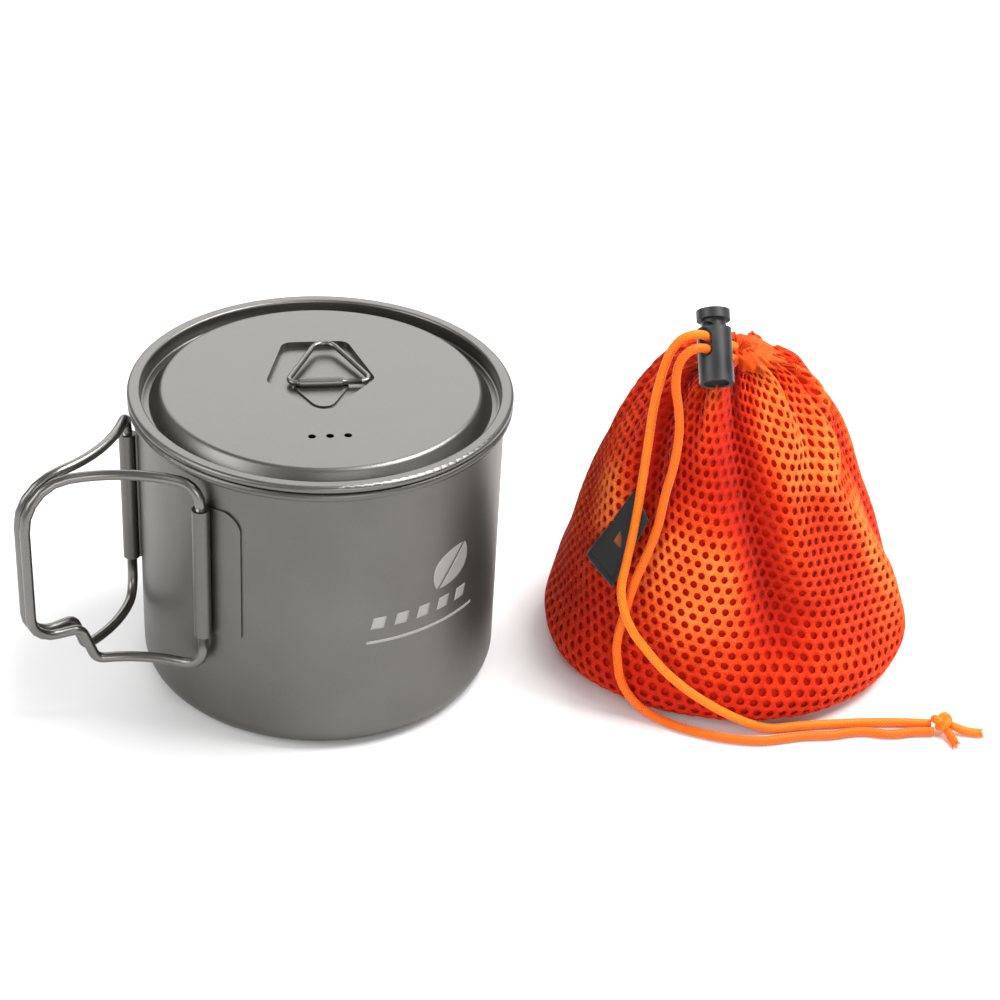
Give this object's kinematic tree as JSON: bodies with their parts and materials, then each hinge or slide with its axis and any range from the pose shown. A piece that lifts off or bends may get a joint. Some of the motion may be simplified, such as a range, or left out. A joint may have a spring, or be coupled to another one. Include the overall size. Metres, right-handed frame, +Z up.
{
  "type": "camping cooking pot set",
  "caption": "Metal camping pot with a lid, folding wire handles on vertical hinges, a hinged lid ring, and a mesh drawstring bag with a cord lock.",
  "frame": {"origin": "centre of the pot's base, on the surface it stands on", "axes": "+Z up, +X from the pot to the bag, +Y to the back"},
  "size_m": [0.252, 0.1022, 0.1056],
  "materials": {
    "pot_titanium": "bead-blasted titanium, satin",
    "lid_titanium": "bead-blasted titanium, satin",
    "wire_titanium": "drawn titanium wire, satin",
    "orange_mesh": "knitted polyester mesh with round holes",
    "orange_cord": "braided polyester cord",
    "black_label": "woven label",
    "black_plastic": "moulded, matte",
    "spring_steel": "drawn wire"
  },
  "bodies": {
    "root": {"pot_body": "pot_titanium", "near_bracket": "pot_titanium", "far_bracket": "pot_titanium"},
    "near_handle": {"near_handle": "wire_titanium"},
    "far_handle": {"far_handle": "wire_titanium"},
    "lid": {"lid": "lid_titanium", "lid_strap": "lid_titanium"},
    "lid_ring": {"lid_ring": "wire_titanium"},
    "bag": {"bag_body": "orange_mesh", "bag_hem": "orange_mesh", "bag_label": "black_label", "cord_channel_loop": "orange_cord", "lock_barrel": "black_plastic", "lock_spring": "spring_steel", "cord_strand_a": "orange_cord", "cord_strand_b": "orange_cord", "cord_knot": "orange_cord", "cord_tails": "orange_cord"},
    "lock_plunger": {"lock_plunger": "black_plastic"}
  },
  "joints": [
    {"name": "near_handle_fold", "type": "hinge", "parent": "root", "child": "near_handle", "pos_m": [-0.02925, -0.04055, 0.051], "axis": [0, 0, 1], "range_deg": [0, 160]},
    {"name": "far_handle_fold", "type": "hinge", "parent": "root", "child": "far_handle", "pos_m": [-0.04974, -0.00505, 0.051], "axis": [0, 0, -1], "range_deg": [0, 160]},
    {"name": "lid_lift", "type": "slide", "parent": "root", "child": "lid", "axis": [0, 0, 1], "range_m": [0, 0.08]},
    {"name": "lid_ring_tilt", "type": "hinge", "parent": "lid", "child": "lid_ring", "pos_m": [-0.00013, 0.00149, 0.0819], "axis": [0.9962, 0.0872, 0], "range_deg": [0, 135]},
    {"name": "bag_lift", "type": "slide", "parent": "root", "child": "bag", "axis": [0, 0, 1], "range_m": [0, 0.15]},
    {"name": "lock_press", "type": "slide", "parent": "bag", "child": "lock_plunger", "axis": [0.0251, -0.7189, -0.6947], "range_m": [0, 0.002], "stiffness_N_per_m": 250, "springref_m": -0.004}
  ]
}
